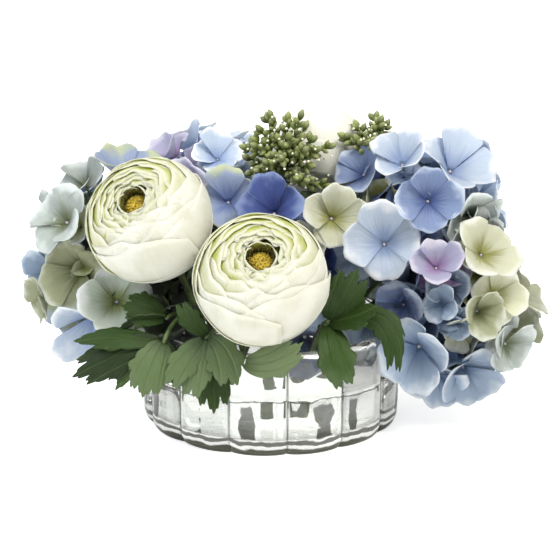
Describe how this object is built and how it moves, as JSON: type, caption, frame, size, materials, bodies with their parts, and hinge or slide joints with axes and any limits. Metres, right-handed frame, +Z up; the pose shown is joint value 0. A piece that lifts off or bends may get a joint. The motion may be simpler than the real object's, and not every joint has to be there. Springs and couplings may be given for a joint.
{
  "type": "hydrangea and ranunculus arrangement in a low glass vase",
  "caption": "Low round arrangement of blue and green-white hydrangea heads, ivory ranunculus, toothed leaves and seed sprays, standing in a shallow fluted clear glass vase of water.",
  "frame": {"origin": "centre of the vase's foot, on the surface that it stands on", "axes": "+Z up, the arrangement's front faces -Y, its long way runs along X"},
  "size_m": [0.3517, 0.268, 0.2115],
  "materials": {
    "glass": "clear pressed glass",
    "water": "clear still water",
    "hydrangea_blue": "matte woven petals, pale blue",
    "hydrangea_deep_blue": "matte woven petals, deep blue",
    "hydrangea_green_blue": "matte woven petals, grey-blue to green",
    "ranunculus_petals": "satin petals, ivory",
    "ranunculus_button": "matte, golden",
    "ranunculus_stamens": "matte, brown",
    "leaf": "matte woven leaf, green",
    "stem": "matte, light green",
    "seed": "matte, olive"
  },
  "bodies": {
    "root": {"vase": "glass", "water": "water", "hydrangea_left": "hydrangea_green_blue", "hydrangea_left_stem": "stem", "hydrangea_centre": "hydrangea_deep_blue", "hydrangea_centre_stem": "stem", "hydrangea_right_upper": "hydrangea_blue", "hydrangea_right_upper_stem": "stem", "hydrangea_right_lower": "hydrangea_green_blue", "hydrangea_right_lower_stem": "stem", "hydrangea_back_left": "hydrangea_blue", "hydrangea_back_left_stem": "stem", "hydrangea_back_right": "hydrangea_blue", "hydrangea_back_right_stem": "stem", "ranunculus_left_petals": "ranunculus_petals", "ranunculus_left_button": "ranunculus_button", "ranunculus_left_stamens": "ranunculus_stamens", "ranunculus_left_leafy_stem": "leaf", "ranunculus_right_petals": "ranunculus_petals", "ranunculus_right_button": "ranunculus_button", "ranunculus_right_stamens": "ranunculus_stamens", "ranunculus_right_leafy_stem": "leaf", "ranunculus_back_petals": "ranunculus_petals", "ranunculus_back_button": "ranunculus_button", "ranunculus_back_stamens": "ranunculus_stamens", "ranunculus_back_stem": "leaf", "foliage_right": "leaf", "foliage_back_left": "leaf", "foliage_back": "leaf", "foliage_back_right": "leaf", "seed_spray_centre": "seed", "seed_spray_right": "seed"}
  },
  "joints": []
}
